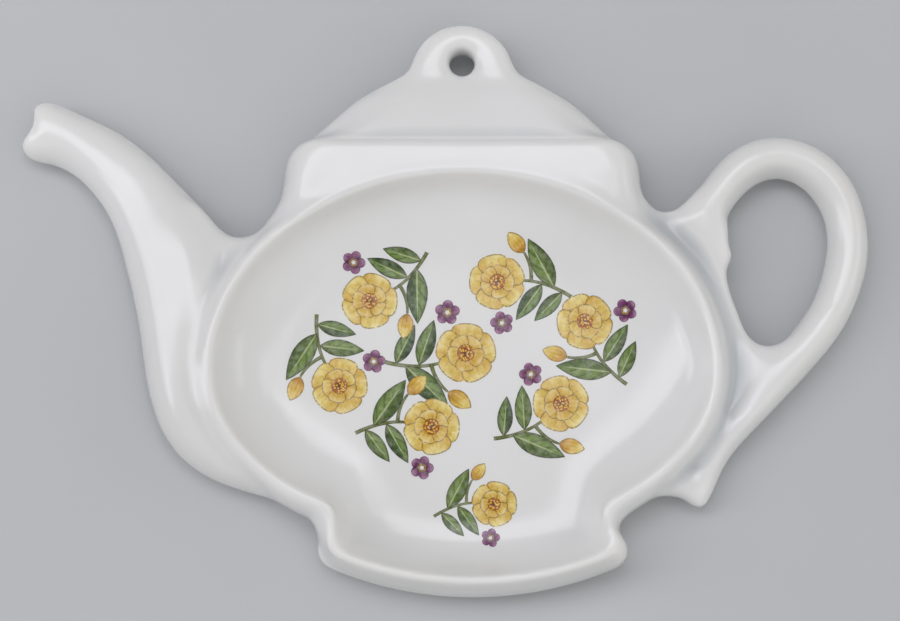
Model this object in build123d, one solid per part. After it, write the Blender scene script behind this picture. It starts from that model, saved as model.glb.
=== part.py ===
from build123d import *
import math
import os

# Tea bag rest: a shallow glazed pottery dish in the flat outline of a teapot.
# Millimetres. X runs from spout to handle, Y from foot to lid, Z up from the table.
# Places in plan are taken from the middle of the belly, and the finished part is centred at the end.

# Belly oval at the crest of its rim, from its widest line
belly_half_width = 44.2
belly_rise = 35.6
belly_drop = 28.7

# Heights, each from the one before it
ring_height = 1.5
floor_thickness = 3.5
well_depth = 8.0

# Walls of the dish
rim_land = 0.8
wall_spread = 3.2
shoulder_height = 7.0
under_round = 1.0
belly_cove = 9.0
foot_cove = 4.2

# Steps of the rolled edges: turn at the last step, number of steps
roll_turn = 78
roll_steps = 5

# Steps of the eased under edge: shares of its round drawn in and risen
under_steps = [(0.6, 0.0), (0.2, 0.5), (0.0, 1.2)]

# Foot of the teapot outline at the crest of the rim, its necks set in from the sides of the belly
neck_inset_left = 22.0
neck_inset_right = 20.0
neck_turn_left = 50
neck_turn_right = 46.5
neck_turn_fall = 24.5
corner_flare_left = 0.3
corner_flare_right = 1.9
foot_drop = 8.0
foot_radius = 62.0
foot_shift = 1.8
corner_run = 3.2
corner_fall = 3.4
neck_rise = 3.4

# Spout stations: reach left of the belly, rise above its widest line, half width, height above the back
spout_stations = [
    (34.8, 45.4, 3.8, 5.7),
    (34.0, 45.1, 4.4, 6.5),
    (26.7, 42.5, 5.3, 7.2),
    (20.9, 39.2, 5.8, 7.8),
    (15.8, 34.3, 6.5, 8.4),
    (10.9, 27.4, 8.0, 9.2),
    (6.7, 19.5, 9.6, 10.1),
    (4.7, 8.5, 9.2, 10.6),
    (3.1, -2.0, 9.0, 10.7),
    (-0.6, -10.5, 8.2, 10.4),
    (-5.7, -16.2, 5.2, 9.4),
    (-11.2, -19.6, 3.2, 8.0),
    (-17.0, -23.2, 1.6, 6.0),
]
lip_notch_depth = 1.6
lip_notch_radius = 4.0

# Handle stations: reach right of the belly, rise above its widest line, half width, height above the back
handle_stations = [
    (-2.6, 25.2, 5.0, 8.6),
    (0.7, 30.7, 3.8, 8.5),
    (5.6, 36.6, 3.8, 8.2),
    (12.7, 39.5, 3.9, 8.0),
    (19.7, 37.0, 3.9, 7.8),
    (24.1, 31.0, 3.8, 7.8),
    (25.4, 23.6, 3.8, 7.8),
    (23.9, 16.0, 3.8, 8.0),
    (20.7, 9.3, 3.7, 8.2),
    (16.2, 3.6, 3.6, 8.4),
    (7.8, -5.4, 3.5, 8.6),
    (2.0, -11.6, 3.4, 8.4),
    (-1.2, -17.5, 3.0, 7.6),
    (-2.3, -22.4, 2.0, 6.2),
    (-2.7, -24.0, 1.3, 4.6),
]
member_swell = 0.92

# Webs in the roots: reach and rise along the free edge, then of the corners hidden in the members
gap_web_edge = [
    (0.6, 32.0),
    (3.7, 26.0),
    (3.2, 17.5),
    (5.4, 10.0),
    (7.6, 5.7),
    (10.2, 4.6),
    (13.0, 5.5),
    (17.0, 8.6),
]
gap_web_corners = [(16.6, 3.6), (8.0, -5.2), (1.6, -12.0), (-1.4, -17.0), (-9.0, -14.0), (-9.0, 22.0)]
arm_web_edge = [(-12.6, 33.4), (-11.0, 31.2), (-9.3, 29.5), (-7.0, 29.0), (-4.7, 30.3), (-1.6, 33.4)]
arm_web_corners = [(0.0, 31.0), (-3.0, 24.0), (-10.0, 22.0), (-14.0, 30.0)]
tail_web_edge = [(-13.4, -23.2), (-9.0, -21.9), (-6.6, -22.0), (-3.4, -23.2)]
tail_web_corners = [(-1.8, -20.0), (-2.0, -15.0), (-14.0, -16.0)]
spout_web_edge = [(4.8, 31.3), (0.2, 26.9), (-2.7, 24.6), (-5.4, 24.5), (-8.1, 26.1), (-10.8, 29.4)]
spout_web_corners = [(-13.0, 28.0), (-9.0, 20.5), (-4.6, 13.5), (3.0, 15.5)]
web_height = 7.4
tail_web_height = 6.2
web_round = 2.2

# Collar stations: rise above the top of the belly's rim, set in from its sides, height above the back
collar_stations = [
    (-11.4, 5.6, 7.4),
    (-9.2, 7.8, 8.6),
    (-7.0, 9.5, 9.7),
    (-4.8, 10.9, 10.4),
    (-2.0, 11.7, 10.8),
    (1.2, 12.0, 10.9),
    (3.8, 12.6, 10.7),
    (5.8, 14.3, 9.6),
    (7.3, 16.4, 7.2),
]
collar_shoulder = 5.0

# Lid stations: rise above the collar, share of the way from the lug's seat to the collar's width, height
lid_stations = [
    (0.0, 0.98, 6.8),
    (1.3, 0.85, 7.9),
    (3.2, 0.66, 8.5),
    (5.1, 0.47, 8.6),
    (7.3, 0.23, 8.0),
    (8.7, 0.0, 7.2),
]
lid_shoulder = 9.0

# Hanging lug, from the end of the lid
lug_rise = 2.8
lug_radius = 9.5
lug_apron = 7.3
lug_tuck = 4.0
lug_height = 7.0
lug_slope = 0.45
lug_neck_radius = 3.5
lug_round = 2.6
hole_rise = 4.8
hole_radius = 2.5
hole_round = 1.2
hole_back_round = 0.5

# Foot ring, in from the edge of the back
ring_inset = 13.5
ring_width = 4.0
ring_round = 0.5

# Fired print on the floor of the well: sprigs strewn round a larger one, and one more in the foot
film_thickness = 0.1
ring_side_margin = 10.8
ring_end_margin = 8.6
sprig_turns = [8, 64, 123, 188, 246, 306]
sprig_lean = 12
sprig_size = 1.12
middle_sprig_offset = (-3.8, -1.0)
middle_sprig_lean = 14
middle_sprig_size = 1.2
foot_sprig_offset = (0.4, 13.0)
foot_sprig_lean = 4
foot_sprig_size = 0.9

# One sprig, along and across its own heading: stem, leaves with their turns and sizes, bud stalk, floret
stem_points = [(-8.2, -1.6), (-2.6, 0.4), (2.6, 0.0)]
blossom_along = 3.8
leaf_roots = [(-5.4, -0.3, 58, 1.0), (-3.4, 0.1, -58, 0.8), (-6.7, -1.0, -50, 0.72)]
stalk_points = [(-1.6, 0.4), (-1.3, 2.8), (-0.2, 5.0)]
bud_turn = 48
floret_place = (2.6, -6.6)
stem_width = 0.55

# Petal, leaf and bud: length, bulge by the root, bulge by the tip, share of the length where that one pulls
petal_shape = (4.5, 2.1, 4.2, 1.0)
leaf_shape = (9.0, 2.4, 2.2, 0.62)
bud_shape = (4.2, 2.1, 1.3, 0.8)
petal_count = 5
heart_radius = 1.3
floret_radius = 1.9
floret_petal_radius = 0.8

# Heights and places worked out from the sizes above
back_height = ring_height
floor_height = back_height + floor_thickness
rim_height = floor_height + well_depth
collar_top = belly_rise + collar_stations[-1][0]
collar_end_width = belly_half_width - collar_stations[-1][1]
lug_seat = collar_top + lid_stations[-1][0]
lug_seat_width = lug_radius + lug_apron
hole_place = lug_seat + hole_rise
belly_middle = (belly_rise - belly_drop) / 2
belly_half_height = (belly_rise + belly_drop) / 2
foot_bottom = -belly_drop - foot_drop
floor_inset = rim_land / 2 + belly_cove
ring_half_width = belly_half_width - floor_inset - ring_side_margin
ring_half_height = belly_half_height - floor_inset - ring_end_margin
big = 4 * belly_half_width


# One level of the dish: belly oval, necks and foot, grown or shrunk, as a level face
def dish_level(grow, foot_grow, height):
    half_width = belly_half_width + grow
    rise = belly_rise + grow
    drop = belly_drop + grow
    hollow = max(0, -foot_grow) / (rim_land / 2 + foot_cove)
    bottom_radius = foot_radius + foot_grow
    bottom_y = foot_radius + foot_bottom

    def side(neck_inset, neck_turn, flare, sign):
        neck_x = sign * (belly_half_width - neck_inset + foot_grow)
        corner_x = neck_x + sign * flare * (1 - hollow)
        base_x = corner_x - sign * corner_run
        base_y = bottom_y - math.sqrt(bottom_radius**2 - (base_x - foot_shift)**2)
        base_travel = (-sign, -sign * (base_x - foot_shift) / (bottom_y - base_y))
        oval_turn = math.radians(neck_turn - neck_turn_fall * hollow)
        oval_point = (sign * half_width * math.cos(oval_turn), -drop * math.sin(oval_turn))
        oval_travel = (-sign * half_width * math.sin(oval_turn), -drop * math.cos(oval_turn))
        neck_point = (neck_x, base_y + corner_fall + neck_rise)
        corner_point = (corner_x, base_y + corner_fall)
        base_point = (base_x, base_y)
        neck_curve = Spline(oval_point, neck_point, corner_point, tangents=[oval_travel, (0, -1), (0, -1)])
        corner_curve = Spline(corner_point, base_point, tangents=[(0, -1), base_travel])
        return math.degrees(oval_turn), neck_curve, corner_curve, base_point

    left_side = side(neck_inset_left, neck_turn_left, corner_flare_left, -1)
    right_side = side(neck_inset_right, neck_turn_right, corner_flare_right, 1)
    left_turn, left_neck, left_corner, left_base = left_side
    right_turn, right_neck, right_corner, right_base = right_side
    edges = [
        EllipticalCenterArc((0, 0), half_width, rise, 0, arc_size=90),
        EllipticalCenterArc((0, 0), half_width, rise, 90, arc_size=90),
        EllipticalCenterArc((0, 0), half_width, drop, 180, arc_size=left_turn),
        left_neck,
        left_corner,
        ThreePointArc(left_base, (foot_shift, bottom_y - bottom_radius), right_base),
        right_corner,
        right_neck,
        EllipticalCenterArc((0, 0), half_width, drop, -right_turn, arc_size=right_turn),
    ]
    return Pos(0, 0, height) * make_face(edges)


# How far a rolled edge has come in and up at one step of its turn, each from 0 to 1
def roll(step):
    turn = math.radians(roll_turn * step / (roll_steps - 1))
    inward = (1 - math.cos(turn)) / (1 - math.cos(math.radians(roll_turn)))
    upward = math.sin(turn) / math.sin(math.radians(roll_turn))
    return inward, upward


# Outside of the dish as a whole block: an eased under edge, an upright wall and a rolled shoulder
def dish_block():
    levels = []
    for ease, lift in under_steps:
        grow = wall_spread - ease * under_round
        levels.append(dish_level(grow, grow, back_height + lift * under_round))
    for step in range(roll_steps):
        inward, upward = roll(step)
        grow = wall_spread - (wall_spread - rim_land / 2) * inward
        levels.append(dish_level(grow, grow, rim_height - shoulder_height * (1 - upward)))
    return loft(levels)


# Hollow of the well: upright under the rim and swept round in a quarter oval to the level floor
def well_block():
    edge = -rim_land / 2
    levels = [dish_level(edge, edge, rim_height + under_round)]
    for step in range(roll_steps):
        inward, downward = roll(step)
        level_height = rim_height - well_depth * downward
        levels.append(dish_level(edge - belly_cove * inward, edge - foot_cove * inward, level_height))
    return loft(levels)


# Cross-section of a relief member: flat back, small rounds below and a swelling top
def relief_section(place, travel, half_width, height, shoulder):
    across = Vector(0, 0, 1).cross(travel)
    swell = height - under_round
    side_x = half_width - under_round
    top_x = half_width - shoulder
    edges = [
        Line((-side_x, 0), (side_x, 0)),
        CenterArc((side_x, under_round), under_round, -90, 90),
        EllipticalCenterArc((top_x, under_round), shoulder, swell, 0, arc_size=90),
        Line((top_x, height), (-top_x, height)),
        EllipticalCenterArc((-top_x, under_round), shoulder, swell, 90, arc_size=90),
        CenterArc((-side_x, under_round), under_round, 180, 90),
    ]
    return Plane((place[0], place[1], back_height), x_dir=across, z_dir=travel) * make_face(edges)


# A member that bends in plan, lofted through sections square to the line through its stations
def bent_relief(stations, side):
    places = [Vector(side * (belly_half_width + reach), rise) for reach, rise, width, height in stations]
    spine = Spline(*places)
    sections = []
    for place, (reach, rise, width, height) in zip(places, stations):
        travel = spine.tangent_at(place)
        sections.append(relief_section((place.X, place.Y), travel, width, height, member_swell * width))
    return loft(sections)


# A member on the middle line, lofted through sections across it
def straight_relief(sizes, shoulder):
    sections = []
    for y, width, height in sizes:
        sections.append(relief_section((0, y), Vector(0, 1, 0), width, height, shoulder))
    return loft(sections)


# A web that fills a root between two members, rounded along its free edge
def make_web(edge, corners, side, height):
    free_edge = Spline(*[(side * (belly_half_width + reach), rise) for reach, rise in edge])
    hidden = [(side * (belly_half_width + reach), rise) for reach, rise in corners]
    hidden_edge = Polyline(free_edge @ 1, *hidden, free_edge @ 0)
    web = Pos(0, 0, back_height) * extrude(make_face([free_edge, hidden_edge]), height)
    return fillet(web.faces().sort_by(Axis.Z)[-1].edges().filter_by(GeomType.BSPLINE), web_round)


# Spout with a hollowed lip and its webbed root
def make_spout():
    spout = bent_relief(spout_stations, -1)
    tip_reach, tip_rise, tip_width, tip_height = spout_stations[0]
    next_reach, next_rise, next_width, next_height = spout_stations[1]
    tip = Vector(-belly_half_width - tip_reach, tip_rise, back_height)
    outward = Vector(next_reach - tip_reach, tip_rise - next_rise, 0).normalized()
    notch_place = tip + outward * (lip_notch_radius - lip_notch_depth)
    spout -= Pos(notch_place) * Cylinder(lip_notch_radius, big)
    return spout + make_web(spout_web_edge, spout_web_corners, -1, web_height)


# Handle bar with the webs that fill its roots
def make_handle():
    webs = [
        make_web(gap_web_edge, gap_web_corners, 1, web_height),
        make_web(arm_web_edge, arm_web_corners, 1, web_height),
        make_web(tail_web_edge, tail_web_corners, 1, tail_web_height),
    ]
    return bent_relief(handle_stations, 1) + webs


def make_collar():
    sizes = []
    for rise, inset, height in collar_stations:
        sizes.append((belly_rise + rise, belly_half_width - inset, height))
    return straight_relief(sizes, collar_shoulder)


def make_lid():
    spread = collar_end_width - lug_seat_width
    sizes = []
    for rise, share, height in lid_stations:
        sizes.append((collar_top + rise, lug_seat_width + spread * share, height))
    return straight_relief(sizes, lid_shoulder)


# Lug: a disc that the lid's slopes run up to in soft corners, cut to the lid's end and bored to hang up
def make_lug():
    base_y = lug_seat - lug_tuck
    base_width = lug_seat_width + lug_tuck / lug_slope
    peak = (0, base_y + lug_slope * base_width)
    slopes = Polyline((-base_width, base_y), (base_width, base_y), peak, close=True)
    plan = make_face(slopes) + Pos(0, lug_seat + lug_rise) * Circle(lug_radius)
    plan -= Pos(0, base_y - big / 2) * Rectangle(big, big)
    corners = [corner for corner in plan.vertices() if corner.Y > base_y + lug_tuck / 2]
    plan = fillet(corners, lug_neck_radius)
    lug = Pos(0, 0, back_height) * extrude(plan, lug_height)

    def free_edges(face):
        return [edge for edge in face.edges() if edge.center().Y > base_y + lug_tuck / 4]

    lug = fillet(free_edges(lug.faces().sort_by(Axis.Z)[-1]), lug_round)
    lug = fillet(free_edges(lug.faces().sort_by(Axis.Z)[0]), under_round)
    seat_height = lid_stations[-1][2]
    seat_section = relief_section((0, lug_seat), Vector(0, 1, 0), lug_seat_width, seat_height, lid_shoulder)
    lug &= extrude(seat_section, big)
    lug -= Pos(0, hole_place, back_height) * Cylinder(hole_radius, big)
    for height, mouth_round in [(back_height + lug_height, hole_round), (back_height, hole_back_round)]:
        rings = lug.edges().filter_by(GeomType.CIRCLE)
        lug = fillet(rings.sort_by_distance((0, hole_place, height))[0], mouth_round)
    return lug


# Dry ring that the dish stands on
def make_ring():
    half_width = belly_half_width + wall_spread - ring_inset
    half_depth = belly_half_height + wall_spread - ring_inset
    plan = Ellipse(half_width, half_depth) - Ellipse(half_width - ring_width, half_depth - ring_width)
    ring = Pos(0, belly_middle, 0) * extrude(plan, ring_height)
    return fillet(ring.faces().sort_by(Axis.Z)[0].edges(), ring_round)


# Drop-shaped motif along its own heading
def drop(length, near_bulge, far_bulge, far_share):
    far = far_share * length
    upper = Bezier((0, 0), (length / 4, near_bulge), (far, far_bulge), (length, 0))
    lower = Bezier((0, 0), (length / 4, -near_bulge), (far, -far_bulge), (length, 0))
    return make_face([upper, lower])


# Place and heading on a sprig of points along and across it, from the sprig's place, heading, size and hand
def on_sprig(sprig, along, across, turn=0):
    x, y, heading, size, hand = sprig
    angle = math.radians(heading)
    reach = size * along
    offset = size * hand * across
    place_x = x + reach * math.cos(angle) - offset * math.sin(angle)
    place_y = y + reach * math.sin(angle) + offset * math.cos(angle)
    return place_x, place_y, heading + hand * turn, size


def lay(motif, x, y, heading, size):
    return Pos(x, y) * Rot(0, 0, heading) * scale(motif, size)


def lay_round(motif, x, y, heading, size):
    turns = [heading + 360 * k / petal_count for k in range(petal_count)]
    return [lay(motif, x, y, turn, size) for turn in turns]


# Films of the print by colour, each cut clear of those named before it
def make_print():
    petal = drop(*petal_shape)
    leaf = drop(*leaf_shape)
    bud = drop(*bud_shape)
    floret_petal = Pos(floret_radius - floret_petal_radius, 0) * Circle(floret_petal_radius)

    foot_x, foot_y = foot_sprig_offset
    middle_x, middle_y = middle_sprig_offset
    sprigs = [
        (foot_shift + foot_x, foot_bottom + foot_y, foot_sprig_lean, foot_sprig_size, 1),
        (middle_x, belly_middle + middle_y, middle_sprig_lean, middle_sprig_size, -1),
    ]
    for number, turn in enumerate(sprig_turns):
        angle = math.radians(turn)
        x = ring_half_width * math.cos(angle)
        y = belly_middle + ring_half_height * math.sin(angle)
        travel = math.atan2(ring_half_height * math.cos(angle), -ring_half_width * math.sin(angle))
        sprigs.append((x, y, math.degrees(travel) + sprig_lean, sprig_size, (-1) ** number))

    blossoms = []
    leaf_places = []
    bud_places = []
    floret_places = []
    stems = Sketch()
    for sprig in sprigs:
        blossoms.append(on_sprig(sprig, blossom_along, 0))
        for along, across, turn, size in leaf_roots:
            x, y, heading, sprig_scale = on_sprig(sprig, along, across, turn)
            leaf_places.append((x, y, heading, size * sprig_scale))
        bud_places.append(on_sprig(sprig, *stalk_points[-1], bud_turn))
        floret_places.append(on_sprig(sprig, *floret_place))
        for points in (stem_points, stalk_points):
            places = [on_sprig(sprig, along, across)[:2] for along, across in points]
            stems += trace(ThreePointArc(*places), stem_width)

    hearts = Sketch() + [lay(Circle(heart_radius), *place) for place in blossoms]
    petals = Sketch() + [part for place in blossoms for part in lay_round(petal, *place)]
    petals += [lay(bud, *place) for place in bud_places]
    petals -= hearts
    florets = Sketch() + [part for place in floret_places for part in lay_round(floret_petal, *place)]
    stems -= petals + hearts + florets
    leaves = Sketch() + [lay(leaf, *place) for place in leaf_places]
    leaves -= petals + hearts + florets + stems
    films = {"hearts": hearts, "petals": petals, "florets": florets, "leaves": leaves, "stems": stems}
    lift = Pos(0, 0, floor_height)
    return {f"print_{colour}": lift * extrude(plan, film_thickness) for colour, plan in films.items()}


dish_outside = dish_block()
collar = make_collar() - dish_outside
nodes = {
    "dish": dish_outside - well_block(),
    "foot_ring": make_ring(),
    "collar": collar,
    "lid": make_lid(),
    "hanging_lug": make_lug(),
    "spout": make_spout() - dish_outside - collar,
    "handle": make_handle() - dish_outside - collar,
}
nodes.update(make_print())

# The finished part stands on the table with the middle of its outline at the origin
outline = Compound([solid for node in nodes.values() for solid in node.solids()]).bounding_box()
middle = outline.center()

os.makedirs("parts", exist_ok=True)
for name, node in nodes.items():
    placed = Pos(-middle.X, -middle.Y, 0) * node
    export_step(placed, f"parts/{name}.step")
    print(name, placed.is_valid, len(placed.solids()), round(placed.volume, 1), placed.bounding_box())

print("belly middle", -middle.X, -middle.Y)
print("hanging hole", -middle.X, hole_place - middle.Y)
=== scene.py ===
import math
import random

import bmesh
import bpy
import numpy as np
from mathutils import Matrix, Vector
from mathutils.bvhtree import BVHTree


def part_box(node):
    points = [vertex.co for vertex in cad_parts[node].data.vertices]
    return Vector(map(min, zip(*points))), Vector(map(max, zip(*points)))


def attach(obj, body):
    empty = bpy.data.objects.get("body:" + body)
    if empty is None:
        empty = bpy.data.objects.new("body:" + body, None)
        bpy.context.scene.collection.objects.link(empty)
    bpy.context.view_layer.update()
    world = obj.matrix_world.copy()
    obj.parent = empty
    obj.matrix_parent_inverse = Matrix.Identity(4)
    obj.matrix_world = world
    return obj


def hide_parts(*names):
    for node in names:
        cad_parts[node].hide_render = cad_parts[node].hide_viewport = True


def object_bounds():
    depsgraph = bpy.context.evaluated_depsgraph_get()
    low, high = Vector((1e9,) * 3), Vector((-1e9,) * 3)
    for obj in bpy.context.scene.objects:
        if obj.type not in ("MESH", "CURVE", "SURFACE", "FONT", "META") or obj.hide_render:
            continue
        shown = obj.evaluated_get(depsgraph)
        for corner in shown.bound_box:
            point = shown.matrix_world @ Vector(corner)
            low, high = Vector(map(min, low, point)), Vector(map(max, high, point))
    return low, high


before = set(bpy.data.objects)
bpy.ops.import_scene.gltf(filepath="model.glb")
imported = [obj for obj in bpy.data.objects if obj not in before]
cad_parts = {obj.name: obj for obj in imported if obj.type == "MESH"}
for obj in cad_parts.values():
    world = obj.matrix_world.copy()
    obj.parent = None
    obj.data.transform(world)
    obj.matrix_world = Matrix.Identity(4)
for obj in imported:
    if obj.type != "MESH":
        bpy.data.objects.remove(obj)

# Tea bag rest: white glazed pottery in the flat outline of a teapot, with a fired print of strewn sprigs.
# Blender works in metres. The object's sizes are given in millimetres and multiplied by mm.
mm = 0.001
cadBox = [list(corner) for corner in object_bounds()]
ringLow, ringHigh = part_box("foot_ring")
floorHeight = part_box("print_petals")[0].z
bellyX = (ringLow.x + ringHigh.x) / 2
ringY = (ringLow.y + ringHigh.y) / 2
scene = bpy.context.scene
print("frame loaded, box", cadBox)


# an sRGB hex colour as linear light
def hexLinear(code):
    channels = [int(code[start:start + 2], 16) / 255 for start in (0, 2, 4)]
    linear = [c / 12.92 if c <= 0.04045 else ((c + 0.055) / 1.055) ** 2.4 for c in channels]
    return (*linear, 1.0)


# a pattern's scale from its real size in millimetres
def scaleOf(size):
    return 1 / (size * mm)


# one node with its settings, its ramp stops and what feeds its sockets; gives back the wanted output
def addNode(tree, kind, settings=None, inputs=None, output=0):
    node = tree.nodes.new("ShaderNode" + kind)
    for name, value in (settings or {}).items():
        if name == "stops":
            ramp = node.color_ramp.elements
            for element, (place, colour) in zip(ramp, (value[0], value[-1])):
                element.position = place
                element.color = hexLinear(colour)
            for place, colour in value[1:-1]:
                ramp.new(place).color = hexLinear(colour)
        else:
            setattr(node, name, value)
    for name, value in (inputs or {}).items():
        if isinstance(value, bpy.types.NodeSocket):
            tree.links.new(value, node.inputs[name])
        else:
            node.inputs[name].default_value = hexLinear(value) if isinstance(value, str) else value
    return node.outputs[output]


def newMaterial(name):
    material = bpy.data.materials.new(name)
    material.use_nodes = True
    tree = material.node_tree
    print("material:", name)
    return material, tree, tree.nodes["Principled BSDF"].inputs


def closeMesh(name, bm):
    mesh = bpy.data.meshes.new(name)
    bm.to_mesh(mesh)
    bm.free()
    return mesh


def addPiece(name, mesh, material):
    mesh.materials.append(material)
    piece = bpy.data.objects.new(name, mesh)
    scene.collection.objects.link(piece)
    return piece


def shadeSmooth(mesh):
    mesh.polygons.foreach_set("use_smooth", np.ones(len(mesh.polygons), dtype=bool))


glaze = {
    "white": "efefee",
    # thin colour: lighter glaze over the crests, partly thinner glaze and partly a painted highlight on the
    # rim
    "thin": "faf9f6",
    # pooled colour: glaze pooled in the hollows, and painted shade there
    "pooledAndShaded": "c9cdcf",
    "even": (0.4, 0.6),  # shares of pooling and painted shade between which the glaze is plain white
    "waveSize": 13.0,
    "waveHeight": 0.05,
    "peelSize": 2.4,
    "peelHeight": 0.0016,
    "cloudSize": 34.0,
    "cloudStops": [(0.3, "f7f7f5"), (0.7, "ffffff")],
    "ior": 1.52,
    "roughness": {"From Min": 0.3, "From Max": 0.7, "To Min": 0.09, "To Max": 0.14},  # follows the peel
}


# the glaze settled in a slow wave and a faint peel as it melted, which bend every reflection a little
def glazeWave(tree):
    place = addNode(tree, "TexCoord", output="Object")
    swell = {"Vector": place, "Scale": scaleOf(glaze["waveSize"]), "Detail": 1.0}
    wave = addNode(tree, "TexNoise", None, swell)
    pores = {"Vector": place, "Scale": scaleOf(glaze["peelSize"]), "Detail": 2.0}
    peel = addNode(tree, "TexNoise", None, pores)
    slow = addNode(tree, "Bump", None, {"Height": wave, "Distance": glaze["waveHeight"] * mm})
    relief = {"Height": peel, "Distance": glaze["peelHeight"] * mm, "Normal": slow}
    return place, peel, addNode(tree, "Bump", None, relief)


# White glazed earthenware: dipped and glost-fired, so a clear gloss coat lies over a white body.
# It pools a little cooler and darker in the hollows, which is partly painted shade, and is painted lighter
# over the crests, partly as thinner glaze and partly as a painted highlight.
def makeGlaze():
    material, tree, shader = newMaterial("glazedEarthenware")
    place, peel, normal = glazeWave(tree)
    pooling = addNode(tree, "Attribute", {"attribute_name": "pooling"}, output="Fac")
    start, end = glaze["even"]
    stops = [(0.0, glaze["thin"]), (start, glaze["white"]), (end, glaze["white"]), (1.0, glaze["pooledAndShaded"])]
    tint = addNode(tree, "ValToRGB", {"stops": stops}, {"Fac": pooling})
    drift = {"Vector": place, "Scale": scaleOf(glaze["cloudSize"]), "Detail": 3.0}
    cloud = addNode(tree, "TexNoise", None, drift)
    shade = addNode(tree, "ValToRGB", {"stops": glaze["cloudStops"]}, {"Fac": cloud})
    shaded = {"Fac": 1.0, "Color1": tint, "Color2": shade}
    colour = addNode(tree, "MixRGB", {"blend_type": "MULTIPLY"}, shaded)
    rough = addNode(tree, "MapRange", None, {"Value": peel, **glaze["roughness"]})
    tree.links.new(colour, shader["Base Color"])
    tree.links.new(rough, shader["Roughness"])
    tree.links.new(normal, shader["Normal"])
    shader["IOR"].default_value = glaze["ior"]
    return material


biscuit = {
    "stops": [(0.35, "c9bfb0"), (0.6, "ddd5c8")],  # dust in the pores, bare clay between them
    "grit": 0.5,
    "gritHeight": 0.03,
    "gritStrength": 0.5,
    "dryTo": 0.55,
    "fadeTo": 0.75,
    "roughness": {"To Min": 0.85, "To Max": 0.1},  # dry, glazed
}


# Biscuit earthenware: the foot is wiped clean of glaze before firing, so its tread is chalky, fine-grained
# and matt, and the glaze starts again in a soft line just above the table.
def makeBiscuit():
    material, tree, shader = newMaterial("biscuitEarthenware")
    place = addNode(tree, "TexCoord", output="Object")
    height = addNode(tree, "SeparateXYZ", None, {"Vector": place}, "Z")
    line = {"Value": height, "From Min": biscuit["dryTo"] * mm, "From Max": biscuit["fadeTo"] * mm}
    glazed = addNode(tree, "MapRange", None, line)
    grains = {"Vector": place, "Scale": scaleOf(biscuit["grit"]), "Detail": 4.0}
    grit = addNode(tree, "TexNoise", None, grains)
    clay = addNode(tree, "ValToRGB", {"stops": biscuit["stops"]}, {"Fac": grit})
    colour = addNode(tree, "MixRGB", None, {"Fac": glazed, "Color1": clay, "Color2": glaze["white"]})
    rough = addNode(tree, "MapRange", None, {"Value": glazed, **biscuit["roughness"]})
    relief = {"Height": grit, "Distance": biscuit["gritHeight"] * mm, "Strength": biscuit["gritStrength"]}
    tree.links.new(colour, shader["Base Color"])
    tree.links.new(rough, shader["Roughness"])
    tree.links.new(addNode(tree, "Bump", None, relief), shader["Normal"])
    shader["IOR"].default_value = glaze["ior"]
    return material


# Fired enamel: printed as a transfer and fired on, so the colour is washed and veined like a drawing,
# and it has nearly the gloss of the glaze that it sank into. Its drawn lines are about twice their real
# width, because a 0.1 mm line doesn't show in the render.
enamel = {
    "mottle": 1.1,
    "roughness": 0.13,
    "thin": "fffdf2",
    "thinSpan": {"From Min": 0.4, "From Max": 0.66},
    "deep": "8a7a5a",
    "deepSpan": {"From Min": 0.58, "From Max": 0.36},
    "breakUp": 0.45,
    "breakSpan": {"From Min": 0.34, "From Max": 0.5},
    "lineCore": 3,  # a drawn line has its full ink within its width divided by this
}


# the facts are what each film knows about its points: along, across, rim and tone
def startEnamel(name, *facts):
    material, tree, shader = newMaterial(name)
    place, _, normal = glazeWave(tree)
    tree.links.new(normal, shader["Normal"])
    shader["IOR"].default_value = glaze["ior"]
    shader["Roughness"].default_value = enamel["roughness"]
    blots = {"Vector": place, "Scale": scaleOf(enamel["mottle"]), "Detail": 3.0}
    wash = addNode(tree, "TexNoise", None, blots)
    known = [addNode(tree, "Attribute", {"attribute_name": fact}, output="Fac") for fact in facts]
    return material, tree, shader, wash, known


# colours laid from the root to the tip, moved a little by the wash
def washAlong(tree, look, along, wash):
    gain, start = look["drift"]
    drift = addNode(tree, "Math", {"operation": "MULTIPLY_ADD"}, {0: wash, 1: gain, 2: start})
    reach = addNode(tree, "Math", None, {0: along, 1: drift})
    return addNode(tree, "ValToRGB", {"stops": look["stops"]}, {"Fac": reach})


# colours laid from one side to the other, moved a little by the wash
def washAcross(tree, look, across, wash):
    gain, start = look["drift"]
    drift = addNode(tree, "Math", {"operation": "MULTIPLY_ADD"}, {0: wash, 1: gain, 2: start})
    spread = addNode(tree, "Math", {"operation": "MULTIPLY_ADD"}, {0: across, 1: look["spread"], 2: drift})
    return addNode(tree, "ValToRGB", {"stops": look["stops"]}, {"Fac": spread})


# the last wash over a printed colour, paler where the colour lay thin and deeper where it ran together
def finishEnamel(tree, shader, colour, wash, strength):
    thin = addNode(tree, "MapRange", None, {"Value": wash, "To Max": strength, **enamel["thinSpan"]})
    deep = addNode(tree, "MapRange", None, {"Value": wash, "To Max": strength, **enamel["deepSpan"]})
    pale = addNode(tree, "MixRGB", None, {"Fac": thin, "Color1": colour, "Color2": enamel["thin"]})
    run = {"Fac": deep, "Color1": pale, "Color2": enamel["deep"]}
    tree.links.new(addNode(tree, "MixRGB", {"blend_type": "MULTIPLY"}, run), shader["Base Color"])


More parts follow.
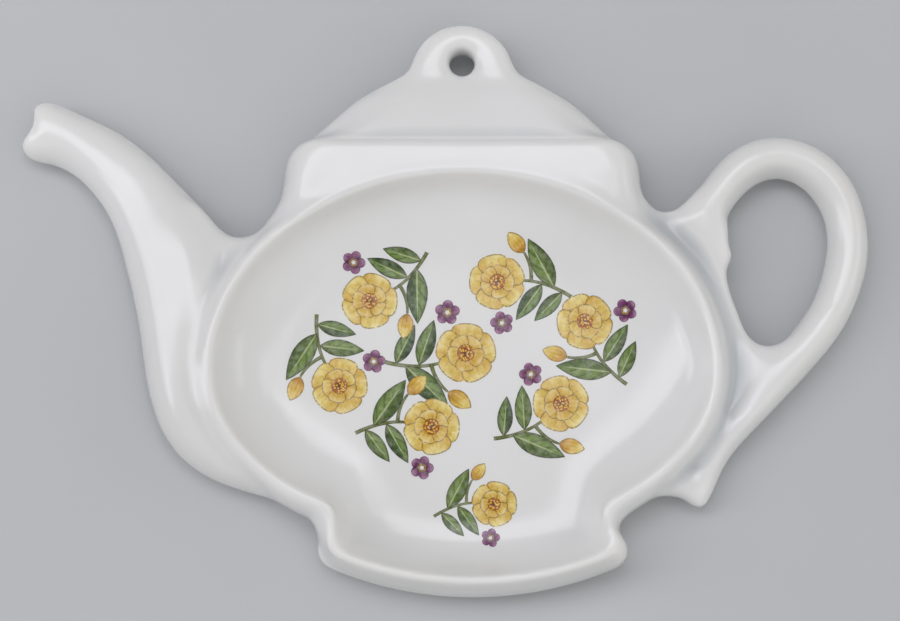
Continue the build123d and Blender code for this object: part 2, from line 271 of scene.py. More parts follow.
# a broken drawn line along the edge of a motif
def edgeLine(tree, colour, rim, ink, width, strength):
    place = addNode(tree, "TexCoord", output="Object")
    grains = {"Vector": place, "Scale": scaleOf(enamel["breakUp"]), "Detail": 2.0}
    grain = addNode(tree, "TexNoise", None, grains)
    line = {"Value": rim, "From Min": width, "From Max": width / enamel["lineCore"], "To Max": strength}
    near = addNode(tree, "MapRange", None, line)
    whole = addNode(tree, "MapRange", None, {"Value": grain, **enamel["breakSpan"]})
    broken = addNode(tree, "Math", {"operation": "MULTIPLY"}, {0: near, 1: whole})
    return addNode(tree, "MixRGB", None, {"Fac": broken, "Color1": colour, "Color2": ink})


petalLook = {
    "stops": [(0.0, "b07a1c"), (0.26, "d3a032"), (0.52, "e4c04e"), (0.8, "efd878"), (1.0, "f5e8a8")],
    "drift": (0.24, -0.12),
    "warm": "d9a437",
    "warmth": 0.5,
    "vein": "a87a26",
    "veinRays": 13.0,
    "veinWander": 2.4,
    "veinSpan": {"From Min": 0.5, "From Max": 0.95, "To Max": 0.6},
    "veinEnd": {"From Min": 0.95, "From Max": 0.3},
    "sideSpan": {"From Min": 0.1, "From Max": 1.0, "To Max": 0.6},
    "line": ("7d6128", 0.27, 0.85),  # ink, width, strength
    "wash": 0.14,
}


# Yellow enamel: thick at the root of a petal and thin at its edge, so it runs from amber to lemon under fine
# brown veins, and one side of each petal is a little warmer.
def makePetalEnamel():
    material, tree, shader, wash, known = startEnamel("yellowEnamel", "along", "across", "rim", "tone")
    along, across, rim, tone = known
    colour = washAlong(tree, petalLook, along, wash)
    warmth = addNode(tree, "Math", {"operation": "MULTIPLY"}, {0: tone, 1: petalLook["warmth"]})
    colour = addNode(tree, "MixRGB", None, {"Fac": warmth, "Color1": colour, "Color2": petalLook["warm"]})
    fan = addNode(tree, "Math", {"operation": "MULTIPLY"}, {0: across, 1: petalLook["veinRays"]})
    wander = {0: wash, 1: petalLook["veinWander"], 2: fan}
    ray = addNode(tree, "Math", {"operation": "MULTIPLY_ADD"}, wander)
    wave = addNode(tree, "Math", {"operation": "SINE"}, {0: ray})
    vein = addNode(tree, "MapRange", None, {"Value": wave, **petalLook["veinSpan"]})
    inner = addNode(tree, "MapRange", None, {"Value": along, **petalLook["veinEnd"]})
    drawn = addNode(tree, "Math", {"operation": "MULTIPLY"}, {0: vein, 1: inner})
    colour = addNode(tree, "MixRGB", None, {"Fac": drawn, "Color1": colour, "Color2": petalLook["vein"]})
    side = addNode(tree, "MapRange", None, {"Value": across, **petalLook["sideSpan"]})
    colour = addNode(tree, "MixRGB", None, {"Fac": side, "Color1": colour, "Color2": petalLook["warm"]})
    colour = edgeLine(tree, colour, rim, *petalLook["line"])
    finishEnamel(tree, shader, colour, wash, petalLook["wash"])
    return material


leafLook = {
    "stops": [
        (0.0, "1f3314"), (0.26, "33501f"), (0.49, "436329"),
        (0.51, "62813a"), (0.76, "789249"), (1.0, "2f4b1f"),
    ],
    "drift": (0.24, 0.38),
    "spread": 0.5,
    "young": "7f9640",
    "youth": 0.45,
    "vein": "22391a",
    "veinPairs": 24.0,
    "veinSlant": -7.0,
    "veinSpan": {"From Min": 0.4, "From Max": 0.95, "To Max": 0.5},
    "root": "5e672b",
    "rootSpan": {"From Min": 0.3, "From Max": 0.0, "To Max": 0.6},
    "rib": "b9c58c",
    "ribTaper": 1.15,
    "ribSpan": {"From Min": 0.16, "From Max": 0.05, "To Max": 0.85},
    "line": ("192a12", 0.26, 0.85),  # ink, width, strength
    "wash": 0.12,
}


# Green enamel: a dark and a light half meet along a pale rib, with slanting veins, so a leaf looks folded.
def makeLeafEnamel():
    material, tree, shader, wash, known = startEnamel("greenEnamel", "along", "across", "rim", "tone")
    along, across, rim, tone = known
    colour = washAcross(tree, leafLook, across, wash)
    youth = addNode(tree, "Math", {"operation": "MULTIPLY"}, {0: tone, 1: leafLook["youth"]})
    colour = addNode(tree, "MixRGB", None, {"Fac": youth, "Color1": colour, "Color2": leafLook["young"]})
    off = addNode(tree, "Math", {"operation": "ABSOLUTE"}, {0: across})
    row = addNode(tree, "Math", {"operation": "MULTIPLY"}, {0: along, 1: leafLook["veinPairs"]})
    slant = addNode(tree, "Math", {"operation": "MULTIPLY_ADD"}, {0: off, 1: leafLook["veinSlant"], 2: row})
    wave = addNode(tree, "Math", {"operation": "SINE"}, {0: slant})
    vein = addNode(tree, "MapRange", None, {"Value": wave, **leafLook["veinSpan"]})
    colour = addNode(tree, "MixRGB", None, {"Fac": vein, "Color1": colour, "Color2": leafLook["vein"]})
    root = addNode(tree, "MapRange", None, {"Value": along, **leafLook["rootSpan"]})
    colour = addNode(tree, "MixRGB", None, {"Fac": root, "Color1": colour, "Color2": leafLook["root"]})
    taper = addNode(tree, "Math", {"operation": "SUBTRACT"}, {0: leafLook["ribTaper"], 1: along})
    narrow = addNode(tree, "Math", {"operation": "DIVIDE"}, {0: off, 1: taper})
    rib = addNode(tree, "MapRange", None, {"Value": narrow, **leafLook["ribSpan"]})
    colour = addNode(tree, "MixRGB", None, {"Fac": rib, "Color1": colour, "Color2": leafLook["rib"]})
    colour = edgeLine(tree, colour, rim, *leafLook["line"])
    finishEnamel(tree, shader, colour, wash, leafLook["wash"])
    return material


stemLook = {
    "stops": [(0.0, "3a421c"), (0.45, "77803e"), (1.0, "4d5526")],
    "drift": (0.3, 0.35),
    "spread": 0.5,
    "wash": 0.15,
}


# Olive enamel: lighter near the middle of its width, which makes the thin stem look round.
def makeStemEnamel():
    material, tree, shader, wash, (across,) = startEnamel("oliveEnamel", "across")
    finishEnamel(tree, shader, washAcross(tree, stemLook, across, wash), wash, stemLook["wash"])
    return material


heartLook = {
    "stops": [(0.0, "4f2010"), (0.45, "8a3d12"), (0.8, "bb6a1a"), (1.0, "94491a")],
    "pollen": "f4c93f",
    "pollenSize": 0.5,
    "pollenSpan": {"From Min": 0.38, "From Max": 0.24},
    "line": ("4e2a12", 0.24, 0.7),  # ink, width, strength
    "wash": 0.1,
}


# Orange enamel: rust that darkens to the middle, stippled with yellow dots of pollen.
def makeHeartEnamel():
    material, tree, shader, wash, known = startEnamel("orangeEnamel", "along", "across", "rim")
    along, across, rim = known
    flat = addNode(tree, "CombineXYZ", None, {"X": along, "Y": across})
    out = addNode(tree, "VectorMath", {"operation": "LENGTH"}, {0: flat}, "Value")
    colour = addNode(tree, "ValToRGB", {"stops": heartLook["stops"]}, {"Fac": out})
    place = addNode(tree, "TexCoord", output="Object")
    grid = {"Vector": place, "Scale": scaleOf(heartLook["pollenSize"])}
    cell = addNode(tree, "TexVoronoi", {"voronoi_dimensions": "2D"}, grid, "Distance")
    dot = addNode(tree, "MapRange", None, {"Value": cell, **heartLook["pollenSpan"]})
    colour = addNode(tree, "MixRGB", None, {"Fac": dot, "Color1": colour, "Color2": heartLook["pollen"]})
    colour = edgeLine(tree, colour, rim, *heartLook["line"])
    finishEnamel(tree, shader, colour, wash, heartLook["wash"])
    return material


floretLook = {
    "stops": [(0.0, "e2c85c"), (0.22, "d0aa45"), (0.36, "5a2050"), (0.7, "864677"), (1.0, "b583a6")],
    "drift": (0.2, -0.1),
    "vein": "45183f",
    "veinRays": 8.0,
    "veinSpan": {"From Min": 0.6, "From Max": 1.0, "To Max": 0.5},
    "veinEnd": {"From Min": 0.95, "From Max": 0.4},
    "line": ("4d2047", 0.2, 0.8),  # ink, width, strength
    "wash": 0.12,
}


# Violet enamel: a yellow eye, then a deep violet that pales towards the edge of each petal.
def makeFloretEnamel():
    material, tree, shader, wash, known = startEnamel("violetEnamel", "along", "across", "rim")
    along, across, rim = known
    colour = washAlong(tree, floretLook, along, wash)
    fan = addNode(tree, "Math", {"operation": "MULTIPLY"}, {0: across, 1: floretLook["veinRays"]})
    wave = addNode(tree, "Math", {"operation": "COSINE"}, {0: fan})
    vein = addNode(tree, "MapRange", None, {"Value": wave, **floretLook["veinSpan"]})
    inner = addNode(tree, "MapRange", None, {"Value": along, **floretLook["veinEnd"]})
    drawn = addNode(tree, "Math", {"operation": "MULTIPLY"}, {0: vein, 1: inner})
    colour = addNode(tree, "MixRGB", None, {"Fac": drawn, "Color1": colour, "Color2": floretLook["vein"]})
    colour = edgeLine(tree, colour, rim, *floretLook["line"])
    finishEnamel(tree, shader, colour, wash, floretLook["wash"])
    return material


# Glazed ware: the potter's members run into one skin, softened as under a thick glaze.
# Places are measured from the middle of the belly, and those on its oval in shares of the oval.
ware = {
    "members": ["dish", "spout", "handle", "collar", "lid", "hanging_lug"],
    "grid": 0.6,
    "softening": 0.5,
    "rounds": 18,
    "lastRounds": 3,
    "steep": 0.3,  # relief fades away where the skin leans further than this
    "ovalMiddle": 3.45,
    "bellyHalfWidth": 44.2,
    "bellyRise": 35.6,
    "bellyDrop": 28.7,
    "footHalfWidth": 27.0,
    "footTop": -17.0,
    # well
    "dishRounds": 200,
    "dishTop": 7.2,
    "dishFade": 2.0,
    "dishLow": -1.0,
    # slip between the members, and the places that are sponged: x, y, reach in x and in y, strength
    "outsideRun": 0.04,
    "lidHalfWidth": 33.0,
    "fillRounds": 4,
    "spongeRounds": 80,
    "sponged": [
        (43.5, 23.5, 9.0, 9.0, 0.15),  # upper root of the handle
        (-42.5, 23.0, 9.0, 9.0, 0.25),  # upper root of the spout
        (53.5, -1.5, 8.0, 8.0, 0.4),  # below the handle's gap
        (0.0, 48.2, 27.0, 4.6, 1.0),  # lid
        (42.0, -18.5, 6.0, 6.0, 0.7),  # root of the tail
    ],
    # lip on the rim
    "lipHeight": 0.6,
    "lipMiddle": 1.015,
    "lipReach": 0.03,
    "lipEnd": 6.0,
    "lipGap": 27.0,
    "lipLeast": 0.25,
    # hollow outside the rim, with its depths at the upper left, the lower left and the right
    "valleyDepths": (0.3, 0.8, 1.4),
    "valleyTurn": (8.0, -4.0),  # the left side changes between these heights
    "valleyMiddle": 1.092,
    "valleyInside": 0.035,
    "valleyOutside": (0.1, 0.085),  # left, right
    "valleyEnd": (-25.0, 8.0),
    "valleyTop": (31.0, 4.0),
    # lid behind its crease, sloping back
    "lidFoot": 41.5,
    "lidLevel": 11.3,
    "lidSlope": 0.18,
    "lidBend": 0.0045,
    "lidTop": 52.0,
    "lidTopFade": 2.0,
    "lidCrease": 26.0,
    "lidTaper": 1.55,
    "lidFade": 5.0,
    # crisp upper edge of the collar
    "shelfRise": 0.62,
    "shelfFoot": 37.0,
    "shelfTop": 40.6,
    "shelfDrop": 1.6,
    "shelfHalfWidth": 30.0,
    # rim below the collar, set a little nearer to the foot
    "rimDrop": 0.75,
    "rimMiddle": 1.035,
    "rimReach": 0.07,
    "rimStart": 18.0,
    "rimRun": 10.0,
    "edgeRounds": 8,
    "edgeReach": 0.04,
    # places pulled by the fingers: x, y, reach, pull in x and in y
    "pulls": [
        (47.6, 20.9, 1.7, 0.8, 0.0),  # nub in the handle's gap
        (-74.8, 47.1, 4.5, -0.5, 1.0),  # upper corner of the spout's mouth
        (-77.4, 40.7, 3.3, -0.5, -0.7),  # lower lip of the mouth
        (-76.6, 43.8, 1.6, 0.9, 0.0),  # notch between them
    ],
    # pooling of the glaze, which is also painted shade in the hollows, with more painted shade in the lid's
    # crease and in the groove outside the rim
    "poolShadeEven": 0.5,
    "poolShadeReach": 20,
    "poolShadeScale": 0.11,
    # painted shade in the tint along the lid's crease and the groove outside the rim
    "creaseMiddle": 42.1,
    "creaseReach": (2.1, 0.8),  # above, below
    "creasePaintedShade": 0.22,
    "groovePaintedShade": 0.26,
}


# 0 up to start, then up to 1 over the run
def rising(values, start, run):
    return np.clip((values - start) / run, 0, 1)


# 1 at first, then down over the run to 0 at the end
def falling(values, end, run):
    return np.clip((end - values) / run, 0, 1)


def bell(values, middle, reach):
    return np.exp(-((values - middle) / reach) ** 2)


def neighbourMean(values, edges, counts):
    total = np.zeros_like(values)
    for axis in range(values.shape[1]):
        total[:, axis] += np.bincount(edges[:, 0], values[edges[:, 1], axis], len(values))
        total[:, axis] += np.bincount(edges[:, 1], values[edges[:, 0], axis], len(values))
    return total / counts[:, None]


# draws the values in place towards the mean of their neighbours, as far as the weight allows
def relax(values, weight, rounds, edges, counts):
    for step in range(rounds):
        values += ware["softening"] * weight * (neighbourMean(values, edges, counts) - values)


def wrapMembers():
    bm = bmesh.new()
    for name in ware["members"]:
        bm.from_mesh(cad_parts[name].data)
    rough = closeMesh("roughWare", bm)
    holder = bpy.data.objects.new("roughWare", rough)
    scene.collection.objects.link(holder)
    wrap = holder.modifiers.new("wrap", "REMESH")
    wrap.mode = "VOXEL"
    wrap.voxel_size = ware["grid"] * mm
    graph = bpy.context.evaluated_depsgraph_get()
    mesh = bpy.data.meshes.new_from_object(holder.evaluated_get(graph))
    bpy.data.objects.remove(holder)
    bpy.data.meshes.remove(rough)
    return mesh


# keeps the outer skin alone, in case the wrap leaves others inside where the members meet
def keepLargestShell(mesh):
    bm = bmesh.new()
    bm.from_mesh(mesh)
    left = set(bm.verts)
    shells = []
    while left:
        queue = [left.pop()]
        shell = list(queue)
        while queue:
            for edge in queue.pop().link_edges:
                for vert in edge.verts:
                    if vert in left:
                        left.remove(vert)
                        queue.append(vert)
                        shell.append(vert)
        shells.append(shell)
    shells.sort(key=len)
    for shell in shells[:-1]:
        bmesh.ops.delete(bm, geom=shell, context="VERTS")
    bm.to_mesh(mesh)
    bm.free()
    return len(shells)


def readMesh(mesh):
    points = np.empty(len(mesh.vertices) * 3)
    mesh.vertices.foreach_get("co", points)
    edges = np.empty(len(mesh.edges) * 2, dtype=np.int64)
    mesh.edges.foreach_get("vertices", edges)
    counts = np.bincount(edges, minlength=len(mesh.vertices)).astype(float)
    return points.reshape(-1, 3), edges.reshape(-1, 2), counts


# puts the points back and gives the new normals
def moveMesh(mesh, points):
    mesh.vertices.foreach_set("co", points.ravel())
    mesh.update()
    normals = np.empty(points.size)
    mesh.vertices.foreach_get("normal", normals)
    return normals.reshape(-1, 3)


def spongeShare(planX, planY):
    share = np.zeros(len(planX))
    for middleX, middleY, reachX, reachY, strength in ware["sponged"]:
        gap = np.hypot((planX - middleX) / reachX, (planY - middleY) / reachY)
        share = np.maximum(share, strength * np.clip(1 - gap * gap, 0, 1))
    return share


def lipShare(planX, planY, oval, facing):
    share = bell(oval, ware["lipMiddle"], ware["lipReach"]) * facing
    share *= rising(planY, ware["footTop"], ware["lipEnd"])
    beside = np.maximum(rising(np.abs(planX), ware["lipGap"], ware["lipEnd"]), ware["lipLeast"])
    return share * np.where(planY > 0, beside, 1)


def valleyDepth(planX, planY, oval, facing):
    outside = np.where(planX < 0, *ware["valleyOutside"])
    reach = np.where(oval < ware["valleyMiddle"], ware["valleyInside"], outside)
    leftUpper, leftLower, right = ware["valleyDepths"]
    left = np.interp(-planY, [-turn for turn in ware["valleyTurn"]], [leftUpper, leftLower])
    depth = np.where(planX < 0, left, right) * bell(oval, ware["valleyMiddle"], reach)
    depth *= facing * rising(np.abs(planX), *ware["valleyTop"])
    return depth * rising(planY, *ware["valleyEnd"])


def raiseLid(height, planX, settledY, facing):
    up = settledY - ware["lidFoot"]
    share = np.where(up > 0, falling(up, ware["lidTop"] - ware["lidFoot"], ware["lidTopFade"]), 0)
    share *= falling(np.abs(planX), ware["lidCrease"] - ware["lidTaper"] * up, ware["lidFade"])
    share *= facing
    level = (ware["lidLevel"] - up * (ware["lidSlope"] + ware["lidBend"] * up)) * mm
    height += share[:, None] * np.maximum(level[:, None] - height, 0)


def shelfShare(planX, settledY, facing):
    share = rising(settledY, ware["shelfFoot"], ware["shelfTop"] - ware["shelfFoot"]) ** 2
    share *= 1 - rising(settledY, ware["shelfTop"], ware["shelfDrop"])
    share *= falling(np.abs(planX), ware["shelfHalfWidth"], ware["lidFade"])
    return share * facing


def makeWare():
    mesh = wrapMembers()
    shells = keepLargestShell(mesh)
    points, edges, counts = readMesh(mesh)
    planX = points[:, 0] / mm - bellyX / mm
    planY = points[:, 1] / mm - ringY / mm + ware["ovalMiddle"]
    halfHeight = np.where(planY > 0, ware["bellyRise"], ware["bellyDrop"])
    oval = np.hypot(planX / ware["bellyHalfWidth"], planY / halfHeight)
    inFoot = (planY < ware["footTop"]) & (np.abs(planX) < ware["footHalfWidth"])

    # the whole skin is softened, then the well is dished, so that its floor runs up into the wall smoothly
    relax(points, 1.0, ware["rounds"], edges, counts)
    above = (points[:, 2] - floorHeight) / mm
    inWell = ((oval < 1) | inFoot) & (above > ware["dishLow"])
    dish = np.where(inWell, falling(above, ware["dishTop"], ware["dishFade"]), 0)[:, None]
    relax(points, dish, ware["dishRounds"], edges, counts)
    normals = moveMesh(mesh, points)
    facing = np.clip(normals[:, 2] / ware["steep"], 0, 1)

    # slip fills the valleys between the members outside the rim, and the roots are sponged to soft saddles
    free = rising(oval, 1.0, ware["outsideRun"]) * facing
    free[inFoot] = 0
    onLid = (planY > 0) & (np.abs(planX) < ware["lidHalfWidth"])
    fill = np.where(onLid, 0, free)[:, None]
    sponge = (free * spongeShare(planX, planY))[:, None]
    height = points[:, 2:]
    for step in range(ware["fillRounds"]):
        rise = neighbourMean(height, edges, counts) - height
        height += ware["softening"] * fill * np.maximum(rise, 0)
    relax(height, sponge, ware["spongeRounds"], edges, counts)

    # the rim keeps a fine rounded lip with a hollow outside it
    height += ware["lipHeight"] * mm * lipShare(planX, planY, oval, facing)[:, None]
    valley = valleyDepth(planX, planY, oval, facing)
    height -= mm * valley[:, None]

    # the lid and the collar go by where the points lie after the softening
    settledY = points[:, 1] / mm - ringY / mm + ware["ovalMiddle"]
    raiseLid(height, planX, settledY, facing)
    height += ware["shelfRise"] * mm * shelfShare(planX, settledY, facing)[:, None]
    rim = bell(oval, ware["rimMiddle"], ware["rimReach"])
    rim *= rising(planY, ware["rimStart"], ware["rimRun"]) * facing
    points[:, 1] -= ware["rimDrop"] * mm * rim
    edge = bell(oval, ware["rimMiddle"], ware["edgeReach"])[:, None]
    relax(points, edge, ware["edgeRounds"], edges, counts)
    for middleX, middleY, reach, pullX, pullY in ware["pulls"]:
        pull = mm * np.exp(-((planX - middleX) ** 2 + (planY - middleY) ** 2) / reach ** 2)
        points[:, 0] += pullX * pull
        points[:, 1] += pullY * pull
    relax(points, 1.0, ware["lastRounds"], edges, counts)
    normals = moveMesh(mesh, points)

    # the glaze is tinted darker where the skin is hollow, partly as pooled glaze and partly as painted
    # shade, and most of all as painted shade in the lid's crease and outside the rim
    lean = neighbourMean(points, edges, counts) - points
    hollow = np.sum(lean * normals, axis=1, keepdims=True) / (ware["grid"] * mm)
    for step in range(ware["poolShadeReach"]):
        hollow = neighbourMean(hollow, edges, counts)
    # painted shade: the lid's crease and the groove outside the rim are darkened in the tint
    creaseReach = np.where(settledY > ware["creaseMiddle"], *ware["creaseReach"])
    creaseShade = bell(settledY, ware["creaseMiddle"], creaseReach) * ware["creasePaintedShade"]
    creaseShade *= falling(np.abs(planX), ware["shelfHalfWidth"], ware["lidFade"])
    grooveShade = ware["groovePaintedShade"] * valley / max(ware["valleyDepths"])
    pooling = ware["poolShadeEven"] + hollow[:, 0] / ware["poolShadeScale"] + creaseShade + grooveShade
    pooling = np.clip(pooling, 0, 1)
    mesh.attributes.new("pooling", "FLOAT", "POINT").data.foreach_set("value", pooling)

    shadeSmooth(mesh)
    mesh.name = "glazedWare"
    mesh.materials.clear()
    piece = addPiece("glazedWare", mesh, makeGlaze())
    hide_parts(*ware["members"])
    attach(piece, "root")
    print("glazed ware:", len(mesh.polygons), "faces,", shells, "shells wrapped")
    return BVHTree.FromPolygons(points.tolist(), [face.vertices[:] for face in mesh.polygons])


skin = makeWare()


# Dry foot ring, turned with soft hollows where it leaves the back.
footRing = {"width": 4.0, "height": 1.5, "tread": 0.6, "cove": 0.7, "arcSteps": 4, "around": 160}


def makeFootRing():
    halfWide = (ringHigh.x - ringLow.x) / 2
    halfDeep = (ringHigh.y - ringLow.y) / 2
    width, height, tread, cove = (footRing[key] * mm for key in ("width", "height", "tread", "cove"))
    steps = footRing["arcSteps"]
    quarter = [math.radians(90 * step / steps) for step in range(steps + 1)]
    profile = [(0.0, height)]
    for turn in quarter[1:]:
        profile.append((-cove * (1 - math.sin(turn)), height - cove * (1 - math.cos(turn))))
    for turn in quarter:
        profile.append((tread * (1 - math.cos(turn)), tread * (1 - math.sin(turn))))
    section = profile + [(width - inward, z) for inward, z in reversed(profile)]
    bm = bmesh.new()
    rings = []
    for k in range(footRing["around"]):
        turn = 2 * math.pi * k / footRing["around"]
        ring = []
        for inward, z in section:
            x = bellyX + (halfWide - inward) * math.cos(turn)
            y = ringY + (halfDeep - inward) * math.sin(turn)
            ring.append(bm.verts.new((x, y, z)))
        rings.append(ring)
    for k, ring in enumerate(rings):
        following = rings[(k + 1) % len(rings)]
        for i in range(len(section)):
            j = (i + 1) % len(section)
            bm.faces.new((ring[i], ring[j], following[j], following[i]))
    bmesh.ops.recalc_face_normals(bm, faces=bm.faces)
    mesh = closeMesh("dryFootRing", bm)
    shadeSmooth(mesh)
    piece = addPiece("dryFootRing", mesh, makeBiscuit())
    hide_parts("foot_ring")
    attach(piece, "root")
    print("dry foot ring:", len(mesh.polygons), "faces")


makeFootRing()


# Fired print: sprigs strewn over the floor of the well, laid out as the printer's sheet was.
# A single sprig stands at x, y, with its heading, its size and the side that its stalk is on.
# A leaf on it has its places along and across, its turn and its size.
sheet = {
    "ringHalfWidth": 24.0,
    "ringHalfHeight": 14.15,
    "turns": [8, 64, 123, 188, 246, 306],
    "lean": 12,
    "size": 1.12,
    "middleSprig": (-3.8, 2.45, 14, 1.2, -1),
    "footSprig": (2.2, -23.7, 4, 0.9, 1),
    "sunk": 0.1,
    "film": 0.03,
    "layer": 0.003,
    "layers": {"leaf": 2, "bud": 5, "petal": 5, "innerPetal": 11, "heart": 18, "floret": 5},
    "facts": ["along", "across", "rim", "tone"],
}
sprig = {
    "stem": [(-8.2, -1.6), (-2.6, 0.4), (2.6, 0.0)],
    "stalk": [(-1.6, 0.4), (-1.3, 2.8), (-0.2, 5.0)],
    "blossomAlong": 3.8,
    "leaves": [(-5.4, -0.3, 58, 1.0), (-3.4, 0.1, -58, 0.8), (-6.7, -1.0, -50, 0.72)],
    "budTurn": 48,
    "floret": (2.6, -6.6),
    "stemWidth": 0.55,
    "stemTaper": (1.15, 0.45),
}
# a drop shape has its length, its half widths near the root and the tip, and how far along the latter is
motif = {
    "petal": (4.5, 2.1, 4.2, 1.0),
    "leaf": (9.0, 2.4, 2.2, 0.62),
    "bud": (4.2, 2.1, 1.3, 0.8),
    "petals": 5,
    "innerSize": 0.62,
    "innerSwing": 36.0,
    "innerTone": 0.35,
    "petalTone": 0.6,
    "budTone": 0.2,
    "heart": 1.3,
    "floret": 1.9,
    "floretPetal": 0.8,
}
chance = random.Random(11)


# shares from -1 to 1 across a row, and a single point at either end
def sidesOf(row, rows, columns):
    return [0.0] if row in (0, rows) else [2 * j / columns - 1 for j in range(columns + 1)]


# rows of points along a drop shape, drawn by a cubic curve: x, y, along 0 to 1, across -1 to 1
def dropRows(shape, rows=14, columns=8):
    length, near, far, share = shape
    made = []
    for i in range(rows + 1):
        t = (1 - math.cos(math.pi * i / rows)) / 2
        x = 3 * (1 - t) ** 2 * t * length / 4 + 3 * (1 - t) * t * t * share * length + t ** 3 * length
        half = 3 * (1 - t) ** 2 * t * near + 3 * (1 - t) * t * t * far
        made.append([(x, side * half, x / length, side) for side in sidesOf(i, rows, columns)])
    return made


# rows of points over a disc, with its own x and y from -1 to 1 as along and across
def discRows(radius, rows=12, columns=10):
    made = []
    for i in range(rows + 1):
        x = -math.cos(math.pi * i / rows)
        half = math.sqrt(max(0.0, 1 - x * x))
        sides = sidesOf(i, rows, columns)
        made.append([(radius * x, radius * side * half, x, side * half) for side in sides])
    return made


# rows of points along a bent line through three points, tapering
def lineRows(points, width, rows=18):
    first, middle, last = (Vector(point) for point in points)
    pull = middle * 2 - (first + last) / 2
    thick, taper = sprig["stemTaper"]
    made = []
    for i in range(rows + 1):
        t = i / rows
        spot = first * (1 - t) ** 2 + pull * 2 * (1 - t) * t + last * t * t
        travel = ((pull - first) * (1 - t) + (last - pull) * t).normalized()
        half = width / 2 * (thick - taper * t)
        across = Vector((-travel.y, travel.x))
        made.append([(*(spot + across * half * side), t, side) for side in (-1.0, 0.0, 1.0)])
    return made


def outlineOf(rows):
    start, end = rows[0], rows[-1]
    loop = [(0, j) for j in range(len(start))]
    loop += [(i, len(rows[i]) - 1) for i in range(1, len(rows) - 1)]
    loop += [(len(rows) - 1, j) for j in reversed(range(len(end)))]
    loop += [(i, 0) for i in range(len(rows) - 2, 0, -1)]
    return loop


def rimDistance(point, corners):
    ahead = np.roll(corners, -1, axis=0)
    span = ahead - corners
    squared = np.maximum(np.sum(span * span, axis=1), 1e-12)  # never nought
    share = np.sum((point - corners) * span, axis=1) / squared
    nearest = corners + span * np.clip(share, 0, 1)[:, None]
    return float(np.min(np.linalg.norm(point - nearest, axis=1)))


# one closed film laid on the glazed skin: its face, its back sunk in the glaze and the edge between them
def addFilm(bm, keys, rows, place, layer):
    x, y, heading, size, tone = place
    loop = outlineOf(rows)
    corners = np.array([rows[i][j][:2] for i, j in loop])
    cosine, sine = math.cos(math.radians(heading)), math.sin(math.radians(heading))
    top = (sheet["film"] + sheet["layer"] * layer) * mm
    low = -sheet["sunk"] * mm
    borders = []
    for height in (top, low):
        grid = []
        for row in rows:
            line = []
            for px, py, along, across in row:
                planX = x + size * (px * cosine - py * sine)
                planY = y + size * (px * sine + py * cosine)
                spotY = ringY + (planY - ware["ovalMiddle"]) * mm
                spot = Vector((bellyX + planX * mm, spotY, cadBox[1][2]))
                glazed = skin.ray_cast(spot, Vector((0, 0, -1)))[0]
                vert = bm.verts.new((spot.x, spot.y, glazed.z + height))
                vert[keys["along"]] = along
                vert[keys["across"]] = across
                vert[keys["rim"]] = size * rimDistance(np.array((px, py)), corners)
                vert[keys["tone"]] = tone
                line.append(vert)
            grid.append(line)
        for near, far in zip(grid, grid[1:]):
            for j in range(max(len(near), len(far)) - 1):
                ends = [near[min(j, len(near) - 1)], near[min(j + 1, len(near) - 1)],
                        far[min(j + 1, len(far) - 1)], far[min(j, len(far) - 1)]]
                corner = [vert for k, vert in enumerate(ends) if vert not in ends[:k]]
                bm.faces.new(corner if height == top else corner[::-1])
        borders.append([grid[i][j] for i, j in loop])
    upper, lower = borders
    for k in range(len(loop)):
        following = (k + 1) % len(loop)
        bm.faces.new((upper[k], lower[k], lower[following], upper[following]))


def makeFilms(name, films, material, node):
    bm = bmesh.new()
    for fact in sheet["facts"]:
        bm.verts.layers.float.new(fact)
    keys = {fact: bm.verts.layers.float[fact] for fact in sheet["facts"]}
    for rows, place, layer in films:
        addFilm(bm, keys, rows, place, layer)
    bmesh.ops.recalc_face_normals(bm, faces=bm.faces)
    mesh = closeMesh(name, bm)
    piece = addPiece(name, mesh, material)
    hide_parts(node)
    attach(piece, "root")
    print(name + ":", len(films), "films,", len(mesh.polygons), "faces")


# where something on a sprig lies on the sheet, how it is turned and the sprig's size
def onSprig(place, along, across, turn=0.0):
    x, y, heading, size, hand = place
    cosine, sine = math.cos(math.radians(heading)), math.sin(math.radians(heading))
    reach, offset = size * along, size * hand * across
    spotX = x + reach * cosine - offset * sine
    spotY = y + reach * sine + offset * cosine
    return spotX, spotY, heading + hand * turn, size


def sprigPlaces():
    places = [sheet["footSprig"], sheet["middleSprig"]]
    wide, deep = sheet["ringHalfWidth"], sheet["ringHalfHeight"]
    for number, turn in enumerate(sheet["turns"]):
        cosine, sine = math.cos(math.radians(turn)), math.sin(math.radians(turn))
        heading = math.degrees(math.atan2(deep * cosine, -wide * sine)) + sheet["lean"]
        y = ware["ovalMiddle"] + deep * sine
        places.append((wide * cosine, y, heading, sheet["size"], (-1) ** number))
    return places


